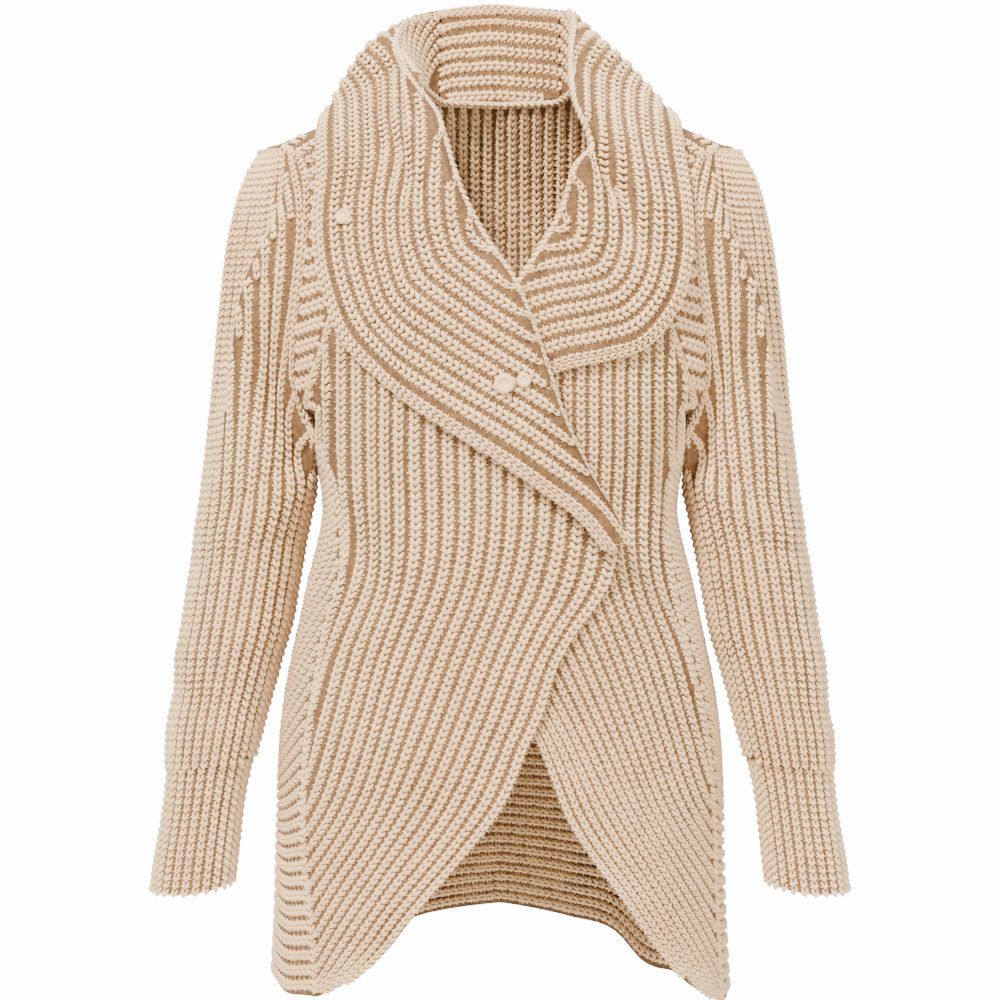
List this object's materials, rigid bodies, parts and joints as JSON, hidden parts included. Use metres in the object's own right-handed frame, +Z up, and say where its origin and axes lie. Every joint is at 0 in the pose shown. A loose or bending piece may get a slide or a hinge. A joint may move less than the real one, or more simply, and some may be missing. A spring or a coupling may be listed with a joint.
{
  "type": "component",
  "caption": "Wrap cardigan in chunky rib knit with a broad shawl collar, overlapping curved fronts, set-in sleeves and ribbed cuffs; warm outer layer.",
  "frame": {"origin": "midway between the shoulder tips, level with the base of the neck, where shoulders carry the garment", "axes": "+Z up, towards the head; +X towards the wearer's left; the front faces -Y; right-handed"},
  "size_m": [0.5708, 0.2793, 0.8217],
  "materials": {
    "rib_knit": "matte",
    "button_yarn": "matte"
  },
  "bodies": {
    "root": {"back_upper": "rib_knit", "back_lower": "rib_knit", "front_right": "rib_knit", "front_left": "rib_knit", "yoke_right": "rib_knit", "yoke_left": "rib_knit", "side_right": "rib_knit", "side_left": "rib_knit", "collar_back": "rib_knit", "lapel_right": "rib_knit", "lapel_left": "rib_knit", "sleeve_right": "rib_knit", "sleeve_left": "rib_knit", "cuff_right": "rib_knit", "cuff_left": "rib_knit", "button_shoulder": "button_yarn", "button_chest": "button_yarn", "button_spare": "button_yarn"}
  },
  "joints": []
}
